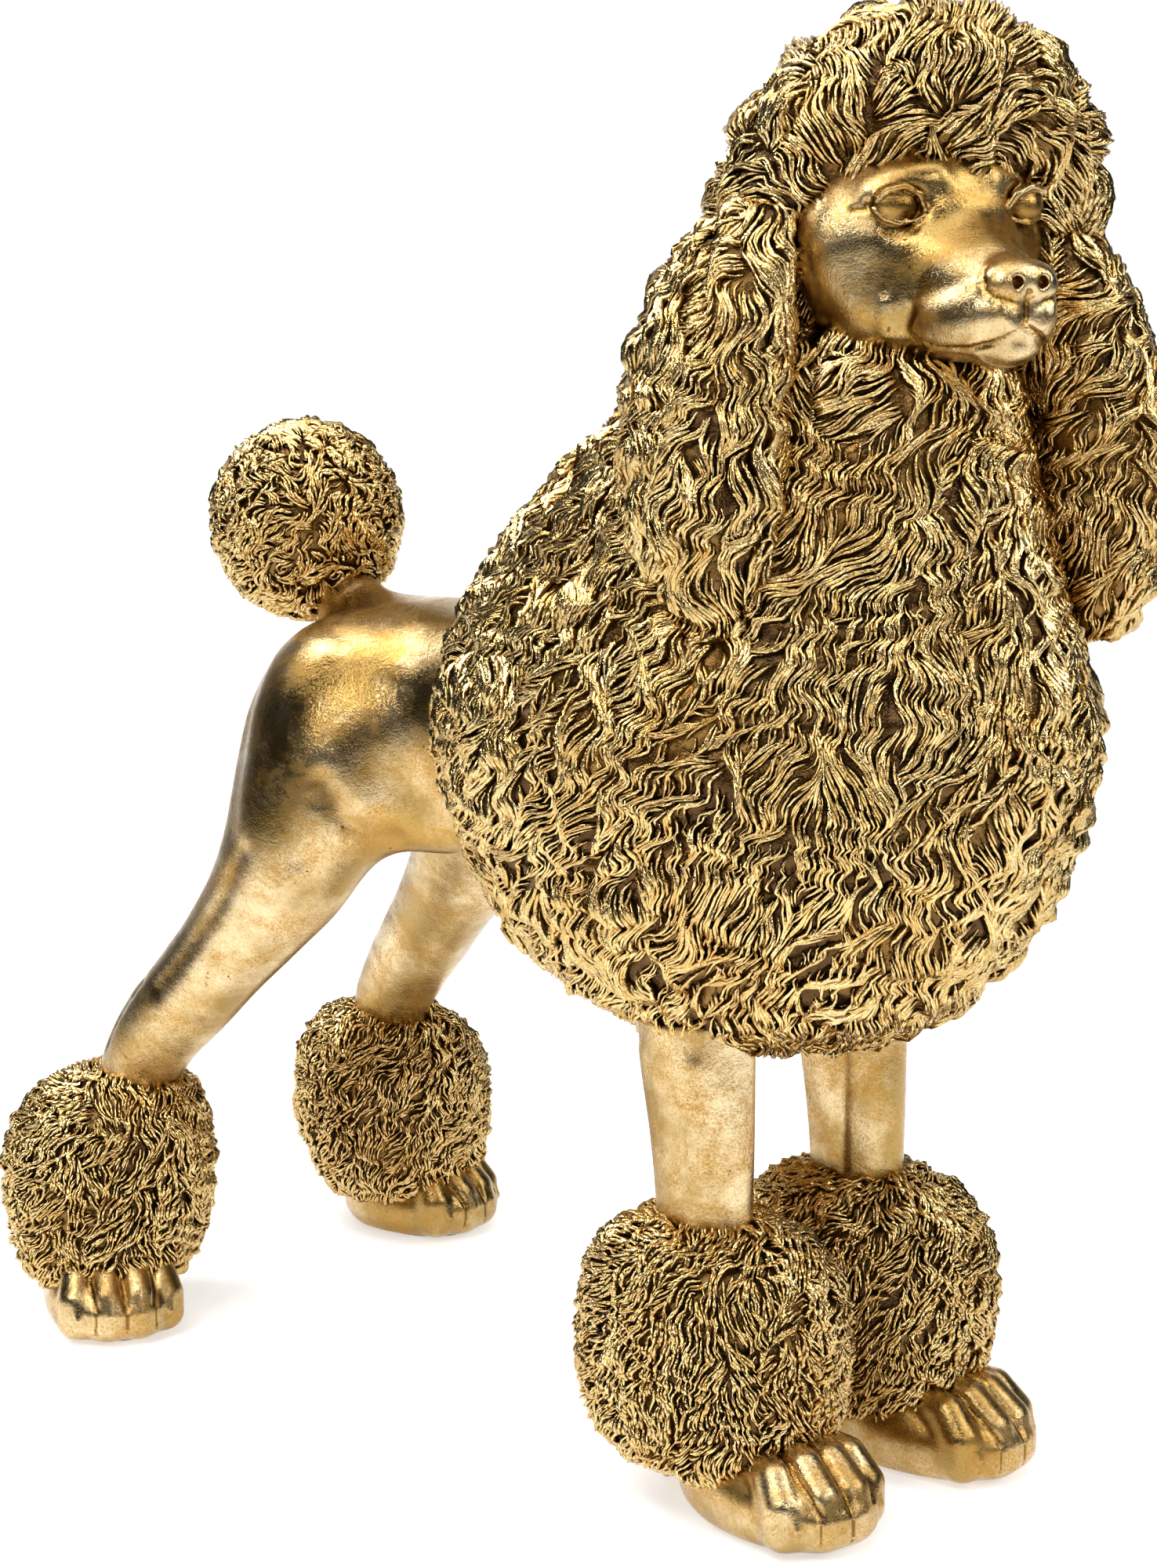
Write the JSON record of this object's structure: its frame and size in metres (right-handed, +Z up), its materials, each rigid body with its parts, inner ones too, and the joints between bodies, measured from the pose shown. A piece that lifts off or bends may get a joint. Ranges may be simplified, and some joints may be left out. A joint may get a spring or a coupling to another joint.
{
  "type": "ceramic dog figurine",
  "caption": "Standing poodle statuette in show clip: gilded smooth hindquarters, legs and face, with carved curly hair on the mane, topknot, ears, leg cuffs and tail",
  "frame": {"origin": "centre of the bounding box at floor level, between the four paws", "axes": "+Z up, the dog faces -Y, +X is the dog's left"},
  "size_m": [0.1758, 0.3404, 0.38],
  "materials": {
    "gold_smooth": "smooth ceramic with a satin antique-gold coating, amber in the hollows",
    "gold_hair": "carved ceramic hair, gold on the strands over a dark brown base coat",
    "felt": "thin dark felt",
    "cork": "plain cork"
  },
  "bodies": {
    "root": {"body": "gold_smooth", "head": "gold_smooth", "tail_stem": "gold_smooth", "foreleg_left": "gold_smooth", "foreleg_right": "gold_smooth", "hind_leg_left": "gold_smooth", "hind_leg_right": "gold_smooth", "fore_paw_left": "gold_smooth", "fore_paw_right": "gold_smooth", "hind_paw_left": "gold_smooth", "hind_paw_right": "gold_smooth", "mane": "gold_hair", "topknot": "gold_hair", "tail_pompon": "gold_hair", "ear_left": "gold_hair", "ear_right": "gold_hair", "fore_cuff_left": "gold_hair", "fore_cuff_right": "gold_hair", "hind_cuff_left": "gold_hair", "hind_cuff_right": "gold_hair", "fore_pad_left": "felt", "fore_pad_right": "felt", "hind_pad_left": "felt", "hind_pad_right": "felt", "vent_plug": "cork"}
  },
  "joints": []
}
